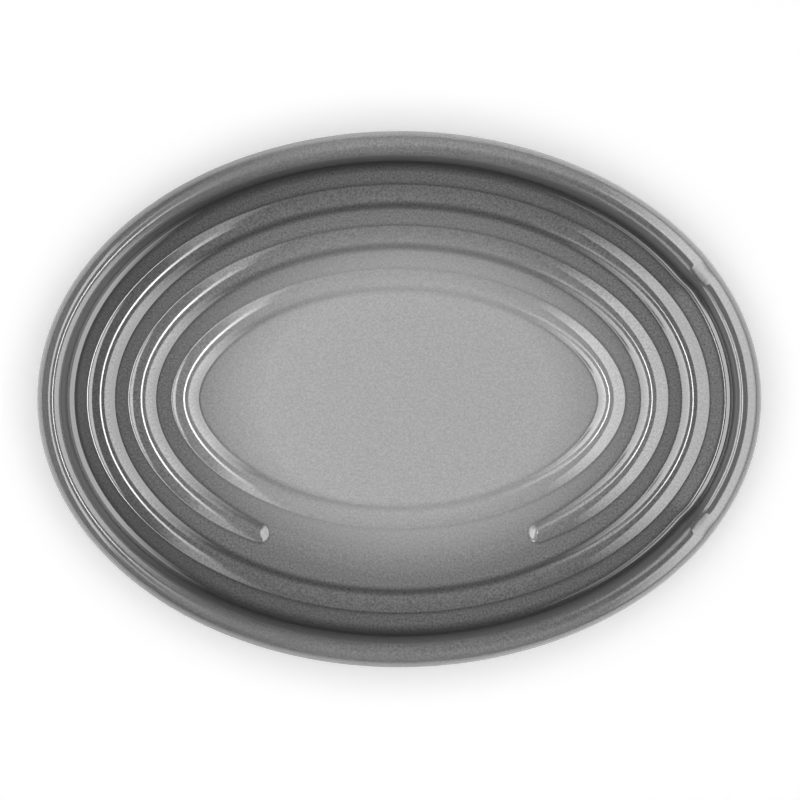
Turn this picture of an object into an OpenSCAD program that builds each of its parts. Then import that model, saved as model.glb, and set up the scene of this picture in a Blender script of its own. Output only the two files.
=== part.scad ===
// Oval stoneware spoon rest: a shallow dish with a thick rounded rim, three raised rings on its floor,
// a lowered stretch of rim for the handle of the spoon, and glaze on all but the foot ring.
// X runs along the dish towards the lowered rim, Z is up, and the table is at Z = 0.

/* [Outline] */
// Length over the rim, along X
length = 160; // [150:1:180]
// Width over the rim, along Y
width = 118.4; // [114:0.2:130]
// Height of the top of the rim above the table
height = 20; // [18:0.5:28]

/* [Wall and rim] */
// How far the top of the rim lies inside the outline
rim_inset = 3.4; // [2:0.1:4]
// How far the widest line of the wall lies below the top of the rim
rim_drop = 3.6; // [2:0.1:4.5]
// Squareness of the rim's outer edge, from a plain ellipse upwards
rim_squareness = 2; // [2:0.1:3]
// Radius of the rim's inner edge
rim_inner_radius = 2; // [1:0.1:2.5]
// How far the foot of the inner wall lies inside the outline
wall_foot_inset = 8.4; // [7.5:0.1:9.5]
// Radius of the hollow corner where the inner wall meets the floor
floor_corner_radius = 2; // [1:0.1:2.2]
// How far the outer wall curves in before it meets the flat base
base_curve_reach = 10; // [6:0.5:11]
// Squareness of that curve, from a plain ellipse upwards
base_curve_squareness = 2.6; // [2:0.1:4]

/* [Floor and rings] */
// Height of the floor above the table, beside the wall
floor_height = 8.5; // [7:0.5:9.5]
// How much the floor drops at each ring, towards the middle
floor_step = 0.4; // [0:0.1:0.6]
// Height of a ring above the floor outside it, at the ends of the dish
ring_height = 0.4; // [0.3:0.1:1.2]
// Width of a ring at the ends of the dish
ring_end_width = 5.8; // [4:0.1:7]
// Width of a ring along the sides of the dish
ring_side_width = 4.8; // [3:0.1:6.5]
// How far the crest of the outer ring lies inside the outline
outer_ring_inset = 14.2; // [13:0.1:15]
// How far the crest of the middle ring lies inside the outline
middle_ring_inset = 23.3; // [22:0.1:24.5]
// How far the crest of the inner ring lies inside the outline
inner_ring_inset = 32.8; // [31:0.1:34]
// Distance between the two round ends of the middle ring, which is open at the front
ring_gap = 62; // [20:0.5:80]
// Width of the middle ring at its round ends
ring_tip_width = 4; // [3:0.1:4.5]
// Length over which the middle ring narrows towards its round ends
ring_tip_length = 15; // [5:1:25]

/* [Handle notch] */
// Width of the lowered stretch of rim, along the top of the rim
notch_width = 55; // [30:1:65]
// Depth of the lowered stretch below the rest of the rim
notch_depth = 2; // [1:0.5:5.5]
// Length of the slope at each end of the lowered stretch
notch_ramp = 6; // [3:0.5:9]
// How far the rim's inner edge curves inwards in the lowered stretch
notch_edge_reach = 2.1; // [1:0.1:2.8]
// How far it curves down there
notch_edge_drop = 1.7; // [1:0.1:3.5]
// Squareness of that edge, from a plain ellipse upwards
notch_edge_squareness = 4; // [2:0.1:4.5]
// How much further out the top of the rim lies in the lowered stretch
notch_rim_shift = 0.3; // [0:0.1:0.6]
// How much further out the foot of the inner wall lies in the lowered stretch
notch_foot_shift = 0.5; // [0:0.1:1]

/* [Foot] */
// How far the outer side of the foot ring lies inside the outline
foot_inset = 13; // [12.5:0.5:20]
// Width of the foot ring where it leaves the base
foot_width = 4.5; // [3:0.5:8]
// Height of the foot ring
foot_height = 2.2; // [1.5:0.1:3]
// How much each side of the foot ring draws in on its way to the table
foot_taper = 0.5; // [0.1:0.1:1]

/* [Glaze] */
// Thickness of the glaze
glaze_thickness = 0.4; // [0.2:0.05:0.6]
// Bare margin between the foot ring and the edge of the glaze
bare_margin = 1.5; // [0.5:0.1:2]

/* [Hidden] */

half_length = length / 2;
half_width = width / 2;
base_height = foot_height + glaze_thickness;
glaze_edge_inset = foot_inset - bare_margin;
recess_inset = foot_inset + foot_width;
// flat strip of floor between the inner ring and the plate that closes the middle of the dish
well_margin = 0.8;
well_inset = inner_ring_inset + ring_end_width / 2 + well_margin;
// depth of clay below the table that is cut away, so that the foot is flat
foot_trim = 1;

// number of straight steps in each rounded stretch of the section
curve_steps = 6;
edge_steps = 4;
ring_steps = 4;

// A place on the dish is given by an angle round the outline and an inset from it. The inset is measured
// square to the outline, so curves of one inset run side by side.
function outward(angle) =
    let (n = [cos(angle) / half_length, sin(angle) / half_width]) n / norm(n);
function spot(angle, inset) =
    [half_length * cos(angle), half_width * sin(angle)] - inset * outward(angle);

// angle at which the curve of one inset reaches a place along an axis (0 for X, 1 for Y), in the first quarter
function angle_at(axis, place, inset, low = 0, high = 90, rounds = 40) =
    let (middle = (low + high) / 2)
    rounds == 0 ? middle
    : (axis == 0) == (spot(middle, inset)[axis] > place)
        ? angle_at(axis, place, inset, middle, high, rounds - 1)
        : angle_at(axis, place, inset, low, middle, rounds - 1);

// length along the outline for each degree of the angle
function degree_length(angle) =
    norm([half_length * sin(angle), half_width * cos(angle)]) * PI / 180;

notch_angle = angle_at(1, notch_width / 2, rim_inset);
ramp_angle = notch_ramp / 2 / degree_length(notch_angle);
ring_end_angle = angle_at(0, ring_gap / 2, middle_ring_inset);
ring_tip_angle = angle_at(0, (ring_gap - ring_tip_width) / 2, middle_ring_inset);

// stretches of the outline: start angle, end angle, number of steps
stretches = [
    [ramp_angle - notch_angle, notch_angle - ramp_angle, 8],
    [notch_angle - ramp_angle, notch_angle + ramp_angle, 6],
    [notch_angle + ramp_angle, 90, 9],
    [90, 180, 13],
    [180, 180 + ring_end_angle, 8],
    [180 + ring_end_angle, 180 + ring_tip_angle, 5],
    [180 + ring_tip_angle, 360 - ring_tip_angle, 6],
    [360 - ring_tip_angle, 360 - ring_end_angle, 5],
    [360 - ring_end_angle, 360 - notch_angle - ramp_angle, 4],
    [360 - notch_angle - ramp_angle, 360 - notch_angle + ramp_angle, 6]
];
stations = [
    for (s = stretches)
        for (i = [0 : s[2] - 1])
            s[0] + (s[1] - s[0]) * i / s[2]
];

// smooth rise from 0 to 1
function s_curve(x) =
    let (t = max(0, min(1, x))) t * t * (3 - 2 * t);

// share of the notch's depth at an angle: 1 in the notch, 0 beside it, an S curve on its slopes
function notch_share(angle) =
    let (away = abs(angle > 180 ? angle - 360 : angle))
    s_curve((notch_angle + ramp_angle - away) / (2 * ramp_angle));

// a ring is widest at the ends of the dish and narrows towards its sides
function ring_half_width(angle) =
    let (along = outward(angle)[0])
    (ring_side_width + (ring_end_width - ring_side_width) * along * along) / 2;

// distance from the centre of the middle ring's nearer round end: below 0 along the ring, above 0 in the gap
function past_ring_end(angle) =
    let (
        here = spot(angle, middle_ring_inset),
        end = spot(ring_end_angle, middle_ring_inset),
        apart = norm([abs(here[0]) - end[0], -here[1] - end[1]])
    )
    here[1] < 0 && abs(here[0]) < end[0] ? apart : -apart;

// the middle ring narrows towards its round ends, and keeps their width in the gap
function middle_ring_half_width(angle) =
    let (
        half = ring_half_width(angle),
        near = max(0, min(1, 1 + past_ring_end(angle) / ring_tip_length))
    )
    half + (ring_tip_width / 2 - half) * near * near;

// Sections are lists of [inset, height]. This one crosses a ring, or its round end at a distance into the gap,
// and steps the floor down from the level outside the ring.
function ring_section(inset, half, level, into_gap = 0) =
    [for (i = [0 : ring_steps])
        let (
            across = i / ring_steps,
            off = half * (2 * across - 1),
            share = max(0, 1 - pow(norm([off, into_gap]) / half, 2)),
            rise = ring_height * half * 2 / ring_end_width
        )
        [inset + off, level + rise * share - floor_step * s_curve(across) * (1 - share)]];

// This one follows the glazed surface from the edge of the glaze by the foot, up the outer wall, over the rim
// and across the floor and the rings.
function glazed_section(angle) =
    let (
        share = notch_share(angle),
        top = height - share * notch_depth,
        widest = top - rim_drop,
        rim_place = rim_inset - share * notch_rim_shift,
        wall_foot = wall_foot_inset - share * notch_foot_shift,
        across = wall_foot - rim_place,
        // this rounding is limited by the wall below it, which never overhangs
        edge_reach = min(rim_inner_radius + share * (notch_edge_reach - rim_inner_radius),
                         across - floor_corner_radius),
        edge_drop = rim_inner_radius + share * (notch_edge_drop - rim_inner_radius),
        down = top - edge_drop - floor_height - floor_corner_radius,
        lean = max(0, atan2(across, down)
                      - asin((edge_reach + floor_corner_radius) / norm([across, down]))),
        base_power = 2 / base_curve_squareness,
        rim_power = 2 / rim_squareness,
        edge_power = 2 / (2 + share * (notch_edge_squareness - 2)),
        into_gap = max(0, past_ring_end(angle))
    )
    concat(
        [[glaze_edge_inset, foot_height]],
        [for (i = [0 : curve_steps])
            let (a = 90 - 90 * i / curve_steps)
            [base_curve_reach * (1 - pow(cos(a), base_power)),
             widest - (widest - foot_height) * pow(sin(a), base_power)]],
        [for (i = [1 : edge_steps])
            let (a = 90 * i / edge_steps)
            [rim_place * (1 - pow(cos(a), rim_power)), widest + rim_drop * pow(sin(a), rim_power)]],
        [for (i = [1 : edge_steps])
            let (a = (90 - lean) * i / edge_steps)
            [rim_place + edge_reach * pow(sin(a), edge_power),
             top - edge_drop * (1 - pow(cos(a), edge_power))]],
        [for (i = [0 : edge_steps])
            let (a = (90 - lean) * (1 - i / edge_steps))
            [wall_foot - floor_corner_radius * sin(a), floor_height + floor_corner_radius * (1 - cos(a))]],
        ring_section(outer_ring_inset, ring_half_width(angle), floor_height),
        ring_section(middle_ring_inset, middle_ring_half_width(angle), floor_height - floor_step, into_gap),
        ring_section(inner_ring_inset, ring_half_width(angle), floor_height - 2 * floor_step),
        [[well_inset, floor_height - 3 * floor_step]]
    );
// place of the widest line in that list
widest_index = 1 + curve_steps;

// a section moved into the clay by the thickness of the glaze
function left_normal(from, to) = [from[1] - to[1], to[0] - from[0]] / norm(to - from);
function under_glaze(section) =
    let (last = len(section) - 1)
    [for (i = [0 : last])
        let (
            before = left_normal(section[max(i - 1, 0)], section[max(i, 1)]),
            after = left_normal(section[min(i, last - 1)], section[min(i + 1, last)]),
            both = before + after
        )
        section[i] - glaze_thickness * 2 * both / (both * both)];

// the clay's section, from the recess round the foot ring to the middle of the dish
function clay_section(angle) =
    let (trim_taper = foot_taper * (base_height + foot_trim) / base_height)
    concat(
        [[recess_inset, base_height],
         [recess_inset - trim_taper, -foot_trim],
         [foot_inset + trim_taper, -foot_trim],
         [foot_inset, base_height]],
        under_glaze(glazed_section(angle))
    );

function part_of(list, first, last) = [for (i = [first : last]) list[i]];
function backwards(list) = [for (i = [len(list) - 1 : -1 : 0]) list[i]];

function inside_glaze_section(angle) =
    let (
        glazed = glazed_section(angle),
        last = len(glazed) - 1
    )
    concat(
        backwards(part_of(under_glaze(glazed), widest_index, last)),
        part_of(glazed, widest_index, last)
    );

function outside_glaze_section(angle) =
    let (glazed = glazed_section(angle))
    concat(
        part_of(glazed, 0, widest_index),
        backwards(part_of(under_glaze(glazed), 0, widest_index))
    );

// Solid that a section sweeps round the dish. An open section is closed by a flat plate at each end,
// a looped one by joining its last point to its first.
module swept(sections, looped = false) {
    rounds = len(sections);
    points = len(sections[0]);
    joins = looped ? points : points - 1;
    function corner(i, j) = (i % rounds) * points + j % points;
    polyhedron(
        [for (i = [0 : rounds - 1])
            for (p = sections[i])
                let (place = spot(stations[i], p[0]))
                [place[0], place[1], p[1]]],
        concat(
            [for (i = [0 : rounds - 1])
                for (j = [0 : joins - 1])
                    each [
                        [corner(i, j), corner(i, j + 1), corner(i + 1, j + 1)],
                        [corner(i, j), corner(i + 1, j + 1), corner(i + 1, j)]
                    ]],
            looped ? [] : [
                [for (i = [0 : rounds - 1]) corner(i, 0)],
                [for (i = [rounds - 1 : -1 : 0]) corner(i, points - 1)]
            ]
        )
    );
}

// Fired clay, buff where the foot ring is bare
module stoneware_body() {
    color("#cdbfa6")
        difference() {
            swept([for (angle = stations) clay_section(angle)]);
            translate([-length, -width, -2 * foot_trim])
                cube([2 * length, 2 * width, 2 * foot_trim]);
        }
}

// Glossy grey glaze over the rim and the inside
module inside_glaze() {
    color("#777777")
        swept([for (angle = stations) inside_glaze_section(angle)]);
}

// Darker grey glaze on the outer wall and the base round the foot
module outside_glaze() {
    color("#555555")
        swept([for (angle = stations) outside_glaze_section(angle)], looped = true);
}

// Glaze in the recess inside the foot ring
module underside_glaze() {
    color("#666666")
        translate([0, 0, foot_height])
            linear_extrude(glaze_thickness)
                polygon([for (angle = stations) spot(angle, recess_inset + bare_margin)]);
}

stoneware_body();
inside_glaze();
outside_glaze();
underside_glaze();
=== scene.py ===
import math

import bmesh
import bpy
from mathutils import Matrix
from mathutils import Vector


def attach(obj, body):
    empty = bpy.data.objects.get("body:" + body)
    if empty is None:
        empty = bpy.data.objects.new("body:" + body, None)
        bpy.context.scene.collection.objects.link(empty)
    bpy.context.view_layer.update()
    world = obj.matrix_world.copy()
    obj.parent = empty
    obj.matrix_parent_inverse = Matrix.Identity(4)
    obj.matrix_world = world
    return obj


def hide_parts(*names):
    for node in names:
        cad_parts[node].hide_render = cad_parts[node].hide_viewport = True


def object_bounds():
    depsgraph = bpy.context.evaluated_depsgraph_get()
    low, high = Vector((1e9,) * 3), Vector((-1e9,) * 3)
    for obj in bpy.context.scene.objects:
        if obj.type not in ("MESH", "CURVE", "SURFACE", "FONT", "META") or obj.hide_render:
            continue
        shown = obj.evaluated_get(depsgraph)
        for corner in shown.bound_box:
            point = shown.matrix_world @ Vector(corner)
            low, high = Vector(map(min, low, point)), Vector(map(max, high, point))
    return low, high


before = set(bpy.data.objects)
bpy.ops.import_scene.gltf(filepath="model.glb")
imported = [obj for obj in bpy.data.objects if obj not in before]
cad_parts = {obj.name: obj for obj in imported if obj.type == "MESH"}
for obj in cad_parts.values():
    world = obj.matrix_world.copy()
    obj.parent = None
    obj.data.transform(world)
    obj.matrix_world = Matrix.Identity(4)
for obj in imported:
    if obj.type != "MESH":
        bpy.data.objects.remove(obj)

cad_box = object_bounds()

# Stoneware body
# The dish itself, one piece of pressed and fired clay. Its wall, floor rings, lowered rim and foot ring are
# formed in the mould, and only the foot ring and a narrow margin on each side of it stay bare of glaze.

MM = 0.001
half_length = cad_box[1].x / MM
half_width = cad_box[1].y / MM
rim_top = cad_box[1].z / MM
glaze_thickness = 0.4

rim_inset = 3.4
rim_drop = 3.6
rim_squareness = 2.0
rim_inner_radius = 2.0
rim_edge_squareness = 2.4
right_edge_squareness = 4.4
right_edge_start = 0.2
right_edge_blend = 0.5
wall_foot_inset = 8.4
floor_corner_radius = 2.0
base_curve_reach = 10.0
base_curve_squareness = 2.6

floor_height = 8.5
floor_step = 0.4
floor_margin = 0.7
ring_height = 0.4
ring_end_width = 5.8
ring_side_width = 4.8
ring_insets = [14.2, 23.3, 32.8]
ring_foot_softness = 0.05
ring_gap = 62.0
ring_tip_width = 4.0
ring_tip_length = 15.0
ring_tip_softness = 0.15
ring_tip_blend = 3.0
well_margin = 4.9
well_inset = ring_insets[2] + well_margin

notch_width = 55.0
notch_depth = 2.0
notch_ramp = 6.0
notch_edge_reach = 2.1
notch_edge_drop = 1.7
notch_edge_squareness = 4.8
notch_rim_shift = 0.3
notch_foot_shift = 0.5

foot_inset = 13.0
foot_width = 4.5
foot_height = 2.2
foot_taper = 0.5
foot_edge_radius = 0.35
bare_margin = 1.5
base_height = foot_height + glaze_thickness
glaze_edge_inset = foot_inset - bare_margin
recess_inset = foot_inset + foot_width


def outward(angle):
    """Direction square to the outline, at an angle in degrees round it."""
    x = math.cos(math.radians(angle)) / half_length
    y = math.sin(math.radians(angle)) / half_width
    size = math.hypot(x, y)
    return x / size, y / size


def spot(angle, inset):
    """Place at a distance inside the outline, measured square to it."""
    x, y = outward(angle)
    return (half_length * math.cos(math.radians(angle)) - inset * x,
            half_width * math.sin(math.radians(angle)) - inset * y)


def angle_at(axis, place, inset):
    """Angle in the first quarter at which the curve of one inset reaches a place along X (0) or Y (1)."""
    low = 0.0
    high = 90.0
    for _ in range(40):
        middle = (low + high) / 2
        beyond = spot(middle, inset)[axis] > place
        if beyond == (axis == 0):
            low = middle
        else:
            high = middle
    return middle


def s_curve(x):
    """Smooth rise from 0 to 1."""
    t = max(0.0, min(1.0, x))
    return t * t * (3 - 2 * t)


notch_angle = angle_at(1, notch_width / 2, rim_inset)
degree_length = math.radians(math.hypot(half_length * math.sin(math.radians(notch_angle)),
                                        half_width * math.cos(math.radians(notch_angle))))
ramp_angle = notch_ramp / 2 / degree_length
ring_end_angle = angle_at(0, ring_gap / 2, ring_insets[1])
ring_tip_angle = angle_at(0, (ring_gap - ring_tip_width) / 2, ring_insets[1])

# the outline is divided most finely where the rim drops and where the middle ring ends
near_tip = 180 + ring_end_angle - 1
past_tip = 180 + ring_tip_angle + 1
stretches = [
    (ramp_angle - notch_angle, notch_angle - ramp_angle, 56),
    (notch_angle - ramp_angle, notch_angle + ramp_angle, 22),
    (notch_angle + ramp_angle, 90, 56),
    (90, 180, 90),
    (180, near_tip, 56),
    (near_tip, past_tip, 48),
    (past_tip, 540 - past_tip, 46),
    (540 - past_tip, 540 - near_tip, 48),
    (540 - near_tip, 360 - notch_angle - ramp_angle, 26),
    (360 - notch_angle - ramp_angle, 360 - notch_angle + ramp_angle, 22),
]
stations = [start + (end - start) * i / count for start, end, count in stretches for i in range(count)]

# the section is divided most finely over the rim's inner edge and at the feet of the rings
wall_steps = 18
rim_steps = 10
edge_steps = 12
edge_step_growth = 0.4
corner_steps = 9
foot_edge_steps = 3
widest_index = 1 + wall_steps
ring_flank = [1.35, 1.22, 1.12, 1.05, 1.02, 1.0, 0.97, 0.94, 0.88, 0.8, 0.7, 0.6, 0.5, 0.4, 0.3, 0.2, 0.1]
ring_places = [-1.5] + [-x for x in ring_flank] + [0.0] + ring_flank[::-1] + [1.5]


def notch_share(angle):
    """Share of the notch's depth at an angle."""
    away = abs(angle - 360 if angle > 180 else angle)
    return s_curve((notch_angle + ramp_angle - away) / (2 * ramp_angle))


def ring_half_width(angle):
    """A ring is widest at the ends of the dish and narrows towards its sides."""
    along = outward(angle)[0]
    return (ring_side_width + (ring_end_width - ring_side_width) * along * along) / 2


def past_ring_end(angle):
    """Distance from the middle ring's nearer round end: below 0 along the ring, above 0 in its gap."""
    x, y = spot(angle, ring_insets[1])
    end_x, end_y = spot(ring_end_angle, ring_insets[1])
    apart = math.hypot(abs(x) - end_x, -y - end_y)
    return apart if y < 0 and abs(x) < end_x else -apart


def middle_ring_half_width(angle):
    """The middle ring narrows towards its round ends."""
    half = ring_half_width(angle)
    near = max(0.0, min(1.0, 1 + past_ring_end(angle) / ring_tip_length))
    return half + (ring_tip_width / 2 - half) * near * near


def ring_section(inset, half, level, into_gap=0.0, soft=ring_foot_softness):
    """Points (inset, height) across a ring, from the floor outside it to the lower floor inside it."""
    points = []
    for across in ring_places:
        away = math.hypot(across, into_gap / half)
        if away < 1 - soft:
            share = 1 - away * away
        else:
            share = max(0.0, 1 + soft - away) ** 2 / (2 * soft)
        rise = ring_height * half * 2 / ring_end_width * share
        drop = floor_step * s_curve((across + 1) / 2) * (1 - share)
        points.append((inset + across * half, level + rise - drop))
    return points


def rim_and_wall(angle):
    """The rim's top and inset, its inner edge's reach, drop and squareness, the wall's foot and its angle."""
    share = notch_share(angle)
    top = rim_top - share * notch_depth
    rim_place = rim_inset - share * notch_rim_shift
    wall_foot = wall_foot_inset - share * notch_foot_shift
    across = wall_foot - rim_place
    edge_reach = rim_inner_radius + share * (notch_edge_reach - rim_inner_radius)
    edge_reach = min(edge_reach, across - floor_corner_radius)
    edge_drop = rim_inner_radius + share * (notch_edge_drop - rim_inner_radius)
    near_notch = s_curve((outward(angle)[0] - right_edge_start) / right_edge_blend)
    squareness = rim_edge_squareness + (right_edge_squareness - rim_edge_squareness) * near_notch
    squareness += (notch_edge_squareness - squareness) * share
    down = top - edge_drop - floor_height - floor_corner_radius
    lean = math.atan2(across, down)
    lean -= math.asin((edge_reach + floor_corner_radius) / math.hypot(across, down))
    upright = math.pi / 2 - max(0.0, lean)
    return top, rim_place, edge_reach, edge_drop, squareness, wall_foot, upright


def glazed_section(angle):
    """Points (inset, height) from the glaze's edge by the foot, over the rim, to the middle of the dish."""
    top, rim_place, edge_reach, edge_drop, squareness, wall_foot, upright = rim_and_wall(angle)
    widest = top - rim_drop
    base_power = 2 / base_curve_squareness
    rim_power = 2 / rim_squareness
    edge_power = 2 / squareness
    points = [(glaze_edge_inset, foot_height)]
    for i in range(wall_steps + 1):
        turn = math.pi / 2 * (1 - i / wall_steps)
        points.append((base_curve_reach * (1 - math.cos(turn) ** base_power),
                       widest - (widest - foot_height) * math.sin(turn) ** base_power))
    for i in range(1, rim_steps + 1):
        turn = math.pi / 2 * i / rim_steps
        points.append((rim_place * (1 - max(0.0, math.cos(turn)) ** rim_power),
                       widest + rim_drop * math.sin(turn) ** rim_power))
    for i in range(1, edge_steps + 1):
        turn = upright * (i / edge_steps) ** (1 + edge_step_growth * (squareness - rim_edge_squareness))
        points.append((rim_place + edge_reach * math.sin(turn) ** edge_power,
                       top - edge_drop * (1 - max(0.0, math.cos(turn)) ** edge_power)))
    for i in range(corner_steps + 1):
        turn = upright * (1 - i / corner_steps)
        points.append((wall_foot - floor_corner_radius * math.sin(turn),
                       floor_height + floor_corner_radius * (1 - math.cos(turn))))
    points.append((wall_foot + floor_margin, floor_height))
    past_end = past_ring_end(angle)
    near_end = s_curve(1 + past_end / ring_tip_blend)
    soft = ring_foot_softness + (ring_tip_softness - ring_foot_softness) * near_end
    half = ring_half_width(angle)
    points += ring_section(ring_insets[0], half, floor_height)
    points += ring_section(ring_insets[1], middle_ring_half_width(angle), floor_height - floor_step,
                           max(0.0, past_end), soft)
    points += ring_section(ring_insets[2], half, floor_height - 2 * floor_step)
    points.append((well_inset, floor_height - 3 * floor_step))
    return points


def under_glaze(points):
    """The same points, moved into the clay by the thickness of the glaze."""
    moved = []
    last = len(points) - 1
    for i, (inset, height) in enumerate(points):
        sides = []
        for a, b in ((max(i - 1, 0), max(i, 1)), (min(i, last - 1), min(i + 1, last))):
            run = points[b][0] - points[a][0]
            rise = points[b][1] - points[a][1]
            size = math.hypot(run, rise)
            sides.append((-rise / size, run / size))
        x = sides[0][0] + sides[1][0]
        z = sides[0][1] + sides[1][1]
        scale = 2 * glaze_thickness / (x * x + z * z)
        moved.append((inset - scale * x, height - scale * z))
    return moved


def foot_section():
    """Points (inset, height) across the foot ring, from the recess inside it to the base outside it."""
    slope = math.atan2(foot_taper, base_height)
    turns = [slope + (math.pi / 2 - slope) * i / foot_edge_steps for i in range(foot_edge_steps + 1)]
    points = [(recess_inset, base_height)]
    for turn in turns:
        points.append((recess_inset - foot_taper - foot_edge_radius * (math.sin(turn) - math.sin(slope)),
                       foot_edge_radius * (1 - math.sin(turn))))
    for turn in turns[::-1]:
        points.append((foot_inset + foot_taper + foot_edge_radius * (math.sin(turn) - math.sin(slope)),
                       foot_edge_radius * (1 - math.sin(turn))))
    points.append((foot_inset, base_height))
    return points


smooth_angle = math.radians(40)


def draw_round(name, sections, closing, shade_at=None):
    """Extrudes a loop round the outline along the sections, and closes it by 'plates' or a 'bridge'."""
    bpy.ops.object.select_all(action="DESELECT")
    bpy.ops.mesh.primitive_circle_add(vertices=len(stations), radius=half_length * MM, fill_type="NOTHING")
    piece = bpy.context.object
    piece.name = name
    station = piece.data.attributes.new("station", "INT", "POINT")
    station.data.foreach_set("value", list(range(len(stations))))
    if shade_at:
        piece.data.attributes.new("shade", "FLOAT", "POINT")
    bpy.ops.object.mode_set(mode="EDIT")
    bpy.ops.mesh.select_mode(type="EDGE")
    bpy.ops.mesh.select_all(action="SELECT")
    for i in range(len(sections[0])):
        if i > 0:
            bpy.ops.mesh.extrude_edges_move()
        loop = bmesh.from_edit_mesh(piece.data)
        number = loop.verts.layers.int["station"]
        for vert in loop.verts:
            if vert.select:
                angle = stations[vert[number]]
                inset, height = sections[vert[number]][i]
                x, y = spot(angle, inset)
                vert.co = (x * MM, y * MM, height * MM)
                if shade_at:
                    vert[loop.verts.layers.float["shade"]] = shade_at(angle, inset)
        bmesh.update_edit_mesh(piece.data)
    if closing == "plates":
        bpy.ops.mesh.edge_face_add()
    bpy.ops.mesh.select_all(action="DESELECT")
    bpy.ops.mesh.select_non_manifold(extend=False, use_wire=False, use_multi_face=False,
                                     use_non_contiguous=False, use_verts=False)
    if closing == "plates":
        bpy.ops.mesh.edge_face_add()
    else:
        bpy.ops.mesh.bridge_edge_loops()
    bpy.ops.mesh.select_all(action="SELECT")
    bpy.ops.mesh.normals_make_consistent(inside=False)
    bpy.ops.object.mode_set(mode="OBJECT")
    piece.data.attributes.remove(piece.data.attributes["station"])
    bpy.ops.object.shade_smooth_by_angle(angle=smooth_angle)
    return piece


# the clay follows the glaze from below, with a third of its points, because the glaze hides it
glazed = [glazed_section(angle) for angle in stations]
last_index = len(glazed[0]) - 1
hidden = [i for i in range(last_index + 1) if i % 3 == 0 or i in (widest_index, last_index)]
clay = [[under_glaze(points)[i] for i in hidden] for points in glazed]
clay_widest = hidden.index(widest_index)

body = draw_round("clay_body", [foot_section() + points for points in clay], "plates")


def fired_grain():
    """Node group for the fine uneven shade of fired clay and glaze: a grained colour and its height."""
    group = bpy.data.node_groups.new("fired_grain", "ShaderNodeTree")
    group.interface.new_socket("Color", in_out="INPUT", socket_type="NodeSocketColor")
    group.interface.new_socket("Grain Size", in_out="INPUT", socket_type="NodeSocketFloat")
    group.interface.new_socket("Contrast", in_out="INPUT", socket_type="NodeSocketFloat")
    group.interface.new_socket("Color", in_out="OUTPUT", socket_type="NodeSocketColor")
    group.interface.new_socket("Height", in_out="OUTPUT", socket_type="NodeSocketFloat")
    given = group.nodes.new("NodeGroupInput")
    result = group.nodes.new("NodeGroupOutput")
    place = group.nodes.new("ShaderNodeTexCoord")
    pitch = group.nodes.new("ShaderNodeMath")
    pitch.operation = "DIVIDE"
    pitch.inputs[0].default_value = 1.0
    noise = group.nodes.new("ShaderNodeTexNoise")
    noise.inputs["Detail"].default_value = 2.0
    noise.inputs["Roughness"].default_value = 0.6
    centred = group.nodes.new("ShaderNodeMath")
    centred.operation = "SUBTRACT"
    centred.inputs[1].default_value = 0.5
    factor = group.nodes.new("ShaderNodeMath")
    factor.operation = "MULTIPLY_ADD"
    factor.inputs[2].default_value = 1.0
    shaded = group.nodes.new("ShaderNodeVectorMath")
    shaded.operation = "SCALE"
    group.links.new(given.outputs["Grain Size"], pitch.inputs[1])
    group.links.new(place.outputs["Object"], noise.inputs["Vector"])
    group.links.new(pitch.outputs["Value"], noise.inputs["Scale"])
    group.links.new(noise.outputs["Fac"], centred.inputs[0])
    group.links.new(centred.outputs["Value"], factor.inputs[0])
    group.links.new(given.outputs["Contrast"], factor.inputs[1])
    group.links.new(given.outputs["Color"], shaded.inputs[0])
    group.links.new(factor.outputs["Value"], shaded.inputs["Scale"])
    group.links.new(shaded.outputs["Vector"], result.inputs["Color"])
    group.links.new(noise.outputs["Fac"], result.inputs["Height"])
    return group


grain_group = fired_grain()
clay_colour = (0.60, 0.52, 0.38, 1)
clay_roughness = 0.85
clay_grain_size = 0.5
clay_grain_contrast = 0.8
clay_bump_strength = 0.5
clay_bump_height = 0.1


def bare_clay():
    """Dry, sandy, unglazed stoneware."""
    material = bpy.data.materials.new("bare_clay")
    material.use_nodes = True
    nodes = material.node_tree.nodes
    links = material.node_tree.links
    shader = nodes["Principled BSDF"]
    shader.inputs["Roughness"].default_value = clay_roughness
    grain = nodes.new("ShaderNodeGroup")
    grain.node_tree = grain_group
    grain.inputs["Color"].default_value = clay_colour
    grain.inputs["Grain Size"].default_value = clay_grain_size * MM
    grain.inputs["Contrast"].default_value = clay_grain_contrast
    bump = nodes.new("ShaderNodeBump")
    bump.inputs["Strength"].default_value = clay_bump_strength
    bump.inputs["Distance"].default_value = clay_bump_height * MM
    links.new(grain.outputs["Color"], shader.inputs["Base Color"])
    links.new(grain.outputs["Height"], bump.inputs["Height"])
    links.new(bump.outputs["Normal"], shader.inputs["Normal"])
    return material


body.data.materials.append(bare_clay())
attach(body, "root")
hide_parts("stoneware_body")

# Underside glaze
# The coat in the shallow recess inside the foot ring. It is the same glassy glaze as on the walls, wiped back
# from the foot before firing, so its edge is soft and low and the foot stays bare.

coat_inset = recess_inset + bare_margin
coat_edge_wall = 0.4 * glaze_thickness
coat_edge_steps = [(0.15, 0.14), (0.25, 0.08), (0.4, 0.02)]

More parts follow.
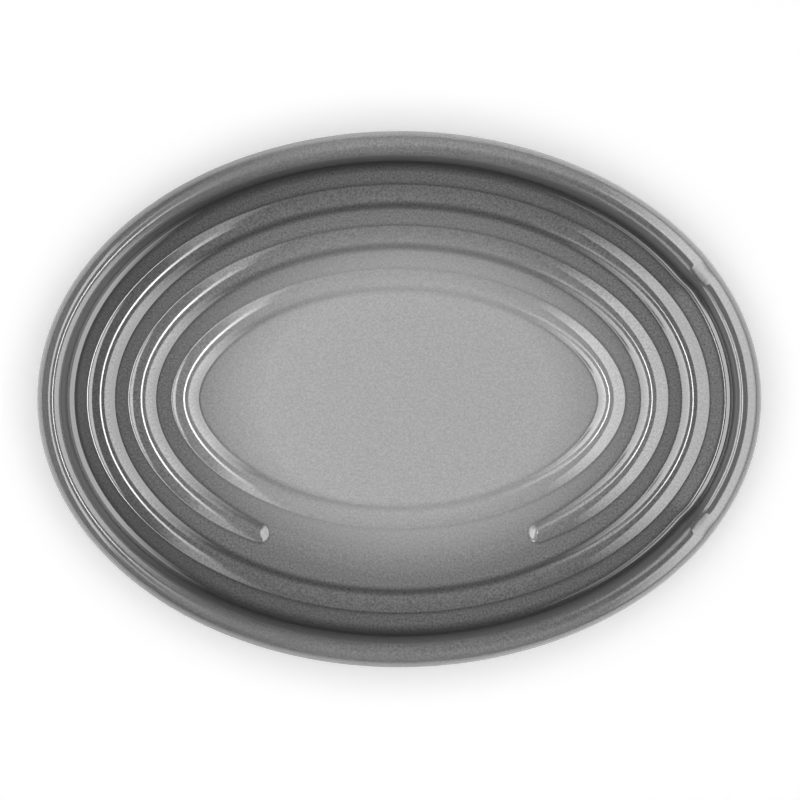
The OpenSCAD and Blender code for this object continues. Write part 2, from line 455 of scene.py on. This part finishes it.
bpy.ops.object.select_all(action="DESELECT")
bpy.ops.mesh.primitive_circle_add(vertices=len(stations), radius=half_length * MM, fill_type="NGON")
recess_coat = bpy.context.object
recess_coat.name = "recess_coat"
for vert, angle in zip(recess_coat.data.vertices, stations):
    x, y = spot(angle, coat_inset)
    vert.co = (x * MM, y * MM, base_height * MM)
bpy.ops.object.mode_set(mode="EDIT")
bpy.ops.mesh.select_all(action="SELECT")
bpy.ops.mesh.extrude_region_move(TRANSFORM_OT_translate={"value": (0, 0, -coat_edge_wall * MM)})
for inwards, down in coat_edge_steps:
    bpy.ops.mesh.inset(thickness=inwards * MM, depth=0)
    bpy.ops.transform.translate(value=(0, 0, -down * MM))
bpy.ops.mesh.select_all(action="SELECT")
bpy.ops.mesh.normals_make_consistent(inside=False)
bpy.ops.object.mode_set(mode="OBJECT")
bpy.ops.object.shade_smooth_by_angle(angle=smooth_angle)

glaze_roughness = 0.05
glaze_refraction = 1.6
glaze_grain_size = 0.45
glaze_grain_contrast = 1.0


def gloss_glaze(name):
    """Smooth, glassy, fired glaze: its material, and the grain node that takes its colour."""
    material = bpy.data.materials.new(name)
    material.use_nodes = True
    nodes = material.node_tree.nodes
    links = material.node_tree.links
    shader = nodes["Principled BSDF"]
    shader.inputs["Roughness"].default_value = glaze_roughness
    shader.inputs["IOR"].default_value = glaze_refraction
    shader.inputs["Coat Weight"].default_value = 1.0
    shader.inputs["Coat Roughness"].default_value = glaze_roughness
    shader.inputs["Coat IOR"].default_value = glaze_refraction
    grain = nodes.new("ShaderNodeGroup")
    grain.node_tree = grain_group
    grain.inputs["Grain Size"].default_value = glaze_grain_size * MM
    grain.inputs["Contrast"].default_value = glaze_grain_contrast
    links.new(grain.outputs["Color"], shader.inputs["Base Color"])
    return material, grain


recess_grey = 0.13
recess_glaze, recess_grain = gloss_glaze("recess_glaze")
recess_grain.inputs["Color"].default_value = (recess_grey, recess_grey, recess_grey, 1)
recess_coat.data.materials.append(recess_glaze)
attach(recess_coat, "root")
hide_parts("underside_glaze")

# Outside glaze
# The darker coat on the outer wall, from the widest line down to the bare margin by the foot. The dish is
# dipped, and the glaze near the foot is sponged off so that it doesn't stick to the kiln shelf.

outer_coat = draw_round(
    "outer_coat",
    [top[:widest_index + 1] + under[clay_widest::-1] for top, under in zip(glazed, clay)],
    "bridge",
)
outer_grey = 0.09
outer_glaze, outer_grain = gloss_glaze("outer_glaze")
outer_grain.inputs["Color"].default_value = (outer_grey, outer_grey, outer_grey, 1)
outer_coat.data.materials.append(outer_glaze)
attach(outer_coat, "root")
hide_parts("outside_glaze")

# Inside glaze
# The coat over the rim and the inside of the dish. It is sprayed pale in the middle and dark at the wall, and
# in the kiln it runs thin on the rim and pools, darker, at the feet of the rings. Painted shade and light are
# added to its colour: shade down the wall, in its corner, at the feet of the rings and on the left of the
# floor, and light on the rim's sides, back and right and on the floor by the notch.

# shades of the rim's top and of its inner edge, as shares of the sprayed grey; painted light makes the rim's
# sides, back and right and the edge's back lighter, and painted shade makes the rim's left darker
rim_end_shade = 1.45
rim_side_painted_light = 0.78
rim_back_painted_light = 0.32
rim_right_painted_light = 0.8
rim_left_painted_shade = 1.05
rim_left_start = 0.05
rim_left_blend = 0.5
edge_end_shade = 1.1
edge_side_gain = 0.5
edge_side_reach = 0.6
edge_back_painted_light = 0.12
edge_shade_start = 0.7
edge_turn_start = 0.7

# painted shade down the wall, darkest in its corner with the floor, from the rim's edge (-1) to the start (0)
# and the end (1) of the corner
wall_places = [-1, 0, 0.15, 0.4, 0.7, 1]
wall_end_painted_shades = [0.42, 0.35, 0.30, 0.25, 0.38, 0.55]
wall_side_painted_shades = [1.60, 1.00, 0.55, 0.08, 0.25, 0.62]

# pooled glaze and painted shade at the feet of the rings; lines and spreads are shares of a ring's half
# width, from its crest
crest_shade = 0.98
end_pool_and_shade = 0.72
side_pools_and_shade = [0.62, 0.42, 0.14]
outer_pool_and_shade_start = 0.93
outer_pool_and_shade_line = 1.04
outer_pool_and_shade_spread = 0.25
inner_pool_and_shade_start = 0.35
inner_pool_and_shade_line = 1.02
inner_pool_and_shade_spread = 0.2
inner_side_shift = 0.15
side_pool_and_shade_spread = 0.25

# the four strips of floor, from the wall to the middle, with painted shade on the left and painted light by
# the notch
strip_left_painted_shade = [0.25, 0.12, 0.28, 0.0]
strip_notch_painted_light = [0.6, 0.0, 0.0, 0.0]
strip_blend = 0.2


def ring_shade(across, away, side, pool_and_shade):
    """Shade of the glaze on a ring, from pooled glaze and painted shade at its feet, wider along the sides
    (1) than at the ends (0).
    """
    deepest = pool_and_shade - (1 - crest_shade)
    if away > outer_pool_and_shade_line:
        spread = outer_pool_and_shade_spread + side_pool_and_shade_spread * side
        outer = 1 - pool_and_shade * max(0.0, 1 - (away - outer_pool_and_shade_line) / spread) ** 2
    else:
        flank = outer_pool_and_shade_line - outer_pool_and_shade_start
        outer = crest_shade - deepest * s_curve((away - outer_pool_and_shade_start) / flank)
    if away > inner_pool_and_shade_line:
        spread = inner_pool_and_shade_spread + side_pool_and_shade_spread * side
        inner = 1 - pool_and_shade * (1 - s_curve((away - inner_pool_and_shade_line) / spread))
    else:
        flank = inner_pool_and_shade_line - inner_pool_and_shade_start - inner_side_shift * side
        inner = crest_shade - deepest * s_curve((away - inner_pool_and_shade_start) / flank)
    inward = 0.5 + 0.5 * across / max(away, 0.01)
    return outer + (inner - outer) * inward


def floor_shade(angle, inset):
    """Shade of the glaze on the floor, by the nearest of the three rings, with painted shade on the left and
    painted light by the notch.
    """
    x, y = outward(angle)
    ring = min(range(3), key=lambda i: abs(inset - ring_insets[i]))
    half = middle_ring_half_width(angle) if ring == 1 else ring_half_width(angle)
    into_gap = max(0.0, past_ring_end(angle)) if ring == 1 else 0.0
    across = (inset - ring_insets[ring]) / half
    away = math.hypot(across, into_gap / half)
    # pooled glaze and painted shade at the feet of this ring
    pool_and_shade = end_pool_and_shade + (side_pools_and_shade[ring] - end_pool_and_shade) * y * y
    shade = ring_shade(across, away, y * y, pool_and_shade)
    for strip, beyond in ((ring, -1 - across), (ring + 1, across - 1)):
        change = strip_notch_painted_light[strip] * notch_share(angle) - strip_left_painted_shade[strip] * max(0.0, -x)
        shade *= 1 + change * s_curve(beyond / strip_blend)
    return shade


def wall_shade(place, side):
    """Painted shade of the glaze at a place down the wall, at the ends (0) or the sides (1) of the dish."""
    for i in range(len(wall_places) - 1):
        if place <= wall_places[i + 1]:
            break
    along = (place - wall_places[i]) / (wall_places[i + 1] - wall_places[i])
    shades = [end + (long - end) * side * side for end, long in zip(wall_end_painted_shades, wall_side_painted_shades)]
    return shades[i] + (shades[i + 1] - shades[i]) * along


def glaze_shade(angle, inset):
    """Shade of the glaze at a distance inside the outline, as a share of the sprayed grey, with its painted
    light and shade.
    """
    top, rim_place, edge_reach, edge_drop, squareness, wall_foot, upright = rim_and_wall(angle)
    if inset > wall_foot:
        return floor_shade(angle, inset)
    x, y = outward(angle)
    side = y * y
    wall_top = rim_place + edge_reach * math.sin(upright) ** (2 / squareness)
    corner_start = wall_foot - floor_corner_radius * math.sin(upright)
    if inset > (wall_top + corner_start) / 2:
        turn = math.asin(min(1.0, (wall_foot - inset) / floor_corner_radius))
        return wall_shade(1 - turn / upright, side)
    # painted light on the rim's sides, back and right, painted shade on its left
    rim_shade = rim_end_shade + rim_side_painted_light * side + rim_back_painted_light * y + rim_right_painted_light * max(0.0, x) * side
    rim_shade += (rim_left_painted_shade - rim_shade) * s_curve((-x - rim_left_start) / rim_left_blend)
    edge_shade = edge_side_gain * (1 - s_curve(abs(x) / edge_side_reach)) * (1 + edge_back_painted_light * y)
    edge_shade += edge_end_shade
    shade = rim_shade + (edge_shade - rim_shade) * s_curve(inset - rim_place + edge_shade_start)
    turned = max(0.0, (inset - rim_place) / edge_reach) ** (squareness / 2)
    shade += (wall_shade(-1, side) - shade) * s_curve((turned - edge_turn_start) / (1 - edge_turn_start))
    return shade


inner_coat = draw_round(
    "inner_coat",
    [under[:clay_widest - 1:-1] + top[widest_index:] for top, under in zip(glazed, clay)],
    "plates",
    glaze_shade,
)

# the sprayed greys run outwards over an oval, shifted right so that the left side is painted darker as shade,
# and the speckle is faintest in the middle
sprayed_roundness = 0.78
painted_shade_shift = 2.0
sprayed_greys = [
    (0.40, 0.376), (0.44, 0.345), (0.48, 0.315), (0.53, 0.27), (0.57, 0.225),
    (0.64, 0.16), (0.72, 0.135), (0.78, 0.105), (0.88, 0.095), (1.0, 0.10),
]
speckle_shares = [(0.42, 0.33), (0.55, 0.40), (0.68, 0.9), (0.84, 1.0), (0.93, 0.48)]
speckle_contrast = 2.1

# the rim is worn along its long sides, left of the middle, and the steep wall is duller than the floor
worn_from_height = 14
worn_to_height = 17
worn_shares = [(0.0, 0.0), (0.05, 0.2), (0.19, 0.7), (0.5, 0.7), (0.78, 0.0)]
worn_roughness = 0.14
steep_facing = 0.3
level_facing = 0.8
steep_gloss = 0.2
steep_roughness = 0.4


def set_stops(ramp, stops):
    """Gives a colour ramp its greys, a list of (position, grey)."""
    for (where, grey), stop in zip(stops, list(ramp.elements) + [None] * len(stops)):
        stop = stop or ramp.elements.new(where)
        stop.position = where
        stop.color = (grey, grey, grey, 1)


def shaded_glaze():
    """Glaze sprayed from pale grey in the middle to dark grey at the wall, with pools, painted light and
    shade, speckle and wear.
    """
    material, grain = gloss_glaze("shaded_glaze")
    nodes = material.node_tree.nodes
    links = material.node_tree.links
    shader = nodes["Principled BSDF"]
    place = nodes.new("ShaderNodeTexCoord")
    oval = nodes.new("ShaderNodeVectorMath")
    oval.operation = "MULTIPLY_ADD"
    oval.inputs[1].default_value = (1 / (half_length * MM), 1 / (half_length * sprayed_roundness * MM), 0)
    # the shift to the right paints the left side darker, as shade
    oval.inputs[2].default_value = (-painted_shade_shift / half_length, 0, 0)
    reach = nodes.new("ShaderNodeVectorMath")
    reach.operation = "LENGTH"
    sprayed = nodes.new("ShaderNodeValToRGB")
    set_stops(sprayed.color_ramp, sprayed_greys)
    # the shade attribute holds the pooled glaze and the thin rim, with painted light and shade
    pools_and_painted_light = nodes.new("ShaderNodeAttribute")
    pools_and_painted_light.attribute_name = "shade"
    tinted = nodes.new("ShaderNodeVectorMath")
    tinted.operation = "SCALE"
    links.new(place.outputs["Object"], oval.inputs[0])
    links.new(oval.outputs["Vector"], reach.inputs[0])
    links.new(reach.outputs["Value"], sprayed.inputs["Fac"])
    links.new(sprayed.outputs["Color"], tinted.inputs[0])
    links.new(pools_and_painted_light.outputs["Fac"], tinted.inputs["Scale"])
    links.new(tinted.outputs["Vector"], grain.inputs["Color"])

    speckle = nodes.new("ShaderNodeValToRGB")
    set_stops(speckle.color_ramp, speckle_shares)
    contrast = nodes.new("ShaderNodeMath")
    contrast.operation = "MULTIPLY"
    contrast.inputs[1].default_value = speckle_contrast
    links.new(reach.outputs["Value"], speckle.inputs["Fac"])
    links.new(speckle.outputs["Color"], contrast.inputs[0])
    links.new(contrast.outputs["Value"], grain.inputs["Contrast"])

    parts = nodes.new("ShaderNodeSeparateXYZ")
    on_rim = nodes.new("ShaderNodeMapRange")
    on_rim.inputs["From Min"].default_value = worn_from_height * MM
    on_rim.inputs["From Max"].default_value = worn_to_height * MM
    along = nodes.new("ShaderNodeMapRange")
    along.inputs["From Min"].default_value = -half_length * MM
    along.inputs["From Max"].default_value = half_length * MM
    handled = nodes.new("ShaderNodeValToRGB")
    set_stops(handled.color_ramp, worn_shares)
    worn = nodes.new("ShaderNodeMath")
    worn.operation = "MULTIPLY"
    unworn = nodes.new("ShaderNodeMath")
    unworn.operation = "SUBTRACT"
    unworn.inputs[0].default_value = 1.0
    links.new(place.outputs["Object"], parts.inputs["Vector"])
    links.new(parts.outputs["Z"], on_rim.inputs["Value"])
    links.new(parts.outputs["X"], along.inputs["Value"])
    links.new(along.outputs["Result"], handled.inputs["Fac"])
    links.new(on_rim.outputs["Result"], worn.inputs[0])
    links.new(handled.outputs["Color"], worn.inputs[1])
    links.new(worn.outputs["Value"], unworn.inputs[1])

    facing = nodes.new("ShaderNodeSeparateXYZ")
    level = nodes.new("ShaderNodeMapRange")
    level.inputs["From Min"].default_value = steep_facing
    level.inputs["From Max"].default_value = level_facing
    level.inputs["To Min"].default_value = steep_gloss
    level.inputs["To Max"].default_value = 1.0
    dull = nodes.new("ShaderNodeMath")
    dull.operation = "MULTIPLY_ADD"
    dull.inputs[1].default_value = -steep_roughness
    dull.inputs[2].default_value = glaze_roughness + steep_roughness
    roughened = nodes.new("ShaderNodeMath")
    roughened.operation = "MULTIPLY_ADD"
    roughened.inputs[1].default_value = worn_roughness
    coated = nodes.new("ShaderNodeMath")
    coated.operation = "MULTIPLY"
    links.new(place.outputs["Normal"], facing.inputs["Vector"])
    links.new(facing.outputs["Z"], level.inputs["Value"])
    links.new(level.outputs["Result"], dull.inputs[0])
    links.new(worn.outputs["Value"], roughened.inputs[0])
    links.new(dull.outputs["Value"], roughened.inputs[2])
    links.new(roughened.outputs["Value"], shader.inputs["Roughness"])
    links.new(level.outputs["Result"], coated.inputs[0])
    links.new(unworn.outputs["Value"], coated.inputs[1])
    links.new(coated.outputs["Value"], shader.inputs["Coat Weight"])
    return material


inner_coat.data.materials.append(shaded_glaze())
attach(inner_coat, "root")
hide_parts("inside_glaze")

# Table, light and camera
# A plain white table top under two soft lamps, with panels to the left, to the right and above that only
# the glaze mirrors. The camera looks straight down. Lamps, panels and camera are placed in metres.

table_size = 8000
table_below = 0.1
table_grey = 0.90
table_roughness = 0.9
table_glow_seen = 0.37
table_glow_mirrored = 1.15
room_light = 0.25
panel_watts = 4

bpy.ops.object.select_all(action="DESELECT")
bpy.ops.mesh.primitive_plane_add(size=table_size * MM, location=(0, 0, -table_below * MM))
table = bpy.context.object
table.name = "table"
table_white = bpy.data.materials.new("table_white")
table_white.use_nodes = True
nodes = table_white.node_tree.nodes
links = table_white.node_tree.links
paint = nodes["Principled BSDF"]
paint.inputs["Base Color"].default_value = (table_grey, table_grey, table_grey, 1)
paint.inputs["Roughness"].default_value = table_roughness
paint.inputs["Specular IOR Level"].default_value = 0.0
paint.inputs["Emission Color"].default_value = (1, 1, 1, 1)
seen = nodes.new("ShaderNodeLightPath")
mirrored = nodes.new("ShaderNodeMath")
mirrored.operation = "MULTIPLY"
mirrored.inputs[1].default_value = table_glow_mirrored
glow = nodes.new("ShaderNodeMath")
glow.operation = "MULTIPLY_ADD"
glow.inputs[1].default_value = table_glow_seen
links.new(seen.outputs["Is Camera Ray"], glow.inputs[0])
links.new(seen.outputs["Is Glossy Ray"], mirrored.inputs[0])
links.new(mirrored.outputs["Value"], glow.inputs[2])
links.new(glow.outputs["Value"], paint.inputs["Emission Strength"])
table.data.materials.append(table_white)

world = bpy.data.worlds.new("studio")
bpy.context.scene.world = world
world.use_nodes = True
nodes = world.node_tree.nodes
links = world.node_tree.links
room = nodes["Background"]
room.inputs["Color"].default_value = (1, 1, 1, 1)
room.inputs["Strength"].default_value = room_light
backdrop = nodes.new("ShaderNodeBackground")
backdrop.inputs["Strength"].default_value = 1.0
seen = nodes.new("ShaderNodeLightPath")
either = nodes.new("ShaderNodeMixShader")
links.new(seen.outputs["Is Camera Ray"], either.inputs["Fac"])
links.new(room.outputs["Background"], either.inputs[1])
links.new(backdrop.outputs["Background"], either.inputs[2])
links.new(either.outputs["Shader"], nodes["World Output"].inputs["Surface"])


def fan_out(lamp, fan):
    """Fades a lamp by the angle in degrees from the X axis, by a list of (angle, share of its brightness)."""
    lamp.use_nodes = True
    nodes = lamp.node_tree.nodes
    links = lamp.node_tree.links
    point = nodes.new("ShaderNodeNewGeometry")
    parts = nodes.new("ShaderNodeSeparateXYZ")
    width = nodes.new("ShaderNodeMath")
    width.operation = "ABSOLUTE"
    reach = nodes.new("ShaderNodeMath")
    reach.operation = "ABSOLUTE"
    angle = nodes.new("ShaderNodeMath")
    angle.operation = "ARCTAN2"
    quarter = nodes.new("ShaderNodeMath")
    quarter.operation = "DIVIDE"
    quarter.inputs[1].default_value = math.pi / 2
    fade = nodes.new("ShaderNodeValToRGB")
    set_stops(fade.color_ramp, [(degrees / 90, share) for degrees, share in fan])
    links.new(point.outputs["Position"], parts.inputs["Vector"])
    links.new(parts.outputs["Y"], width.inputs[0])
    links.new(parts.outputs["X"], reach.inputs[0])
    links.new(width.outputs["Value"], angle.inputs[0])
    links.new(reach.outputs["Value"], angle.inputs[1])
    links.new(angle.outputs["Value"], quarter.inputs[0])
    links.new(quarter.outputs["Value"], fade.inputs["Fac"])
    links.new(fade.outputs["Color"], nodes["Emission"].inputs["Strength"])


def soft_panel(name, inner, outer, half_width, brightness, fan=None):
    """Panel between two edges (X, Z) that only lights, or, with a fan, is only mirrored in the glaze."""
    near = Vector((inner[0], 0, inner[1]))
    far = Vector((outer[0], 0, outer[1]))
    lamp = bpy.data.lights.new(name, "AREA")
    lamp.shape = "RECTANGLE"
    lamp.size = (far - near).length
    lamp.size_y = 2 * half_width
    lamp.energy = brightness * panel_watts * lamp.size * lamp.size_y
    panel = bpy.data.objects.new(name, lamp)
    bpy.context.collection.objects.link(panel)
    middle = (near + far) / 2
    along = (far - near).normalized()
    across = Vector((0, 1, 0))
    if along.cross(across).dot(middle) < 0:
        across = -across
    turn = Matrix((along, across, along.cross(across))).transposed().to_4x4()
    panel.matrix_world = Matrix.Translation(middle) @ turn
    panel.visible_camera = False
    panel.visible_diffuse = not fan
    panel.visible_glossy = bool(fan)
    if fan:
        fan_out(lamp, fan)
    return panel


soft_panel("overhead_light", (-0.33, 0.72), (0.27, 0.72), 0.30, 2.06)
side_light = soft_panel("side_light", (-0.42, 0.60), (-0.64, 0.30), 0.30, 3.7)
lit_by_side = bpy.data.collections.new("lit_by_side")
for piece in (body, recess_coat, outer_coat, inner_coat):
    lit_by_side.objects.link(piece)
side_light.light_linking.receiver_collection = lit_by_side

# the panels of one side join edge to edge, as one bent sheet
left_fan = [(0, 1), (35, 1), (50, 0.7), (68, 0)]
soft_panel("right_panel_high", (0.256, 1.47), (0.75, 1.15), 1.6, 2.55,
           [(0, 1), (38, 1), (48, 0.55), (58, 0)])
soft_panel("right_panel", (0.75, 1.15), (1.60, 0.60), 3.0, 2.55,
           [(0, 1), (40, 1), (50, 0.6), (62, 0)])
soft_panel("right_panel_low", (1.60, 0.60), (1.75, 0.20), 2.6, 1.6,
           [(0, 1), (36, 1), (46, 0.5), (56, 0)])
soft_panel("left_panel_high", (-0.585, 1.35), (-0.30, 0.53), 1.3, 3.2, left_fan)
soft_panel("left_panel", (-0.30, 0.53), (-0.186, 0.253), 0.74, 2.9, left_fan)
soft_panel("left_panel_low", (-0.186, 0.253), (-0.11, 0.068), 0.46, 2.9,
           [(0, 1), (35, 1), (40, 0.1), (60, 0)])
soft_panel("left_wings", (-0.165, 1.20), (-0.42, 1.28), 1.2, 1.0,
           [(48, 0), (57, 1), (64, 1), (75, 0)])
soft_panel("overhead_strip", (-0.088, 1.20), (-0.172, 1.20), 0.60, 9.0,
           [(0, 1), (40, 1), (47, 0.5), (58, 0.25), (66, 0)])

picture_pixels = 800
pixel_size = 0.2207
picture_width = picture_pixels * pixel_size * MM
sensor_width = 36
camera_distance = 3.0
camera_reach = 20
camera_lean_left = math.radians(1.3)
camera_lean_back = math.radians(1.0)
aim = Vector((0.08 * MM, -0.17 * MM, (rim_top - rim_drop) * MM))

lens = bpy.data.cameras.new("camera")
lens.sensor_width = sensor_width
lens.lens = sensor_width * camera_distance / picture_width
lens.clip_end = camera_reach
camera = bpy.data.objects.new("camera", lens)
bpy.context.collection.objects.link(camera)
back = Vector((-math.sin(camera_lean_left), math.sin(camera_lean_back), 1)).normalized()
right = Vector((0, 1, 0)).cross(back).normalized()
up = back.cross(right)
turn = Matrix((right, up, back)).transposed().to_4x4()
camera.matrix_world = Matrix.Translation(aim + camera_distance * back) @ turn
bpy.context.scene.camera = camera
bpy.context.scene.view_settings.view_transform = "Standard"
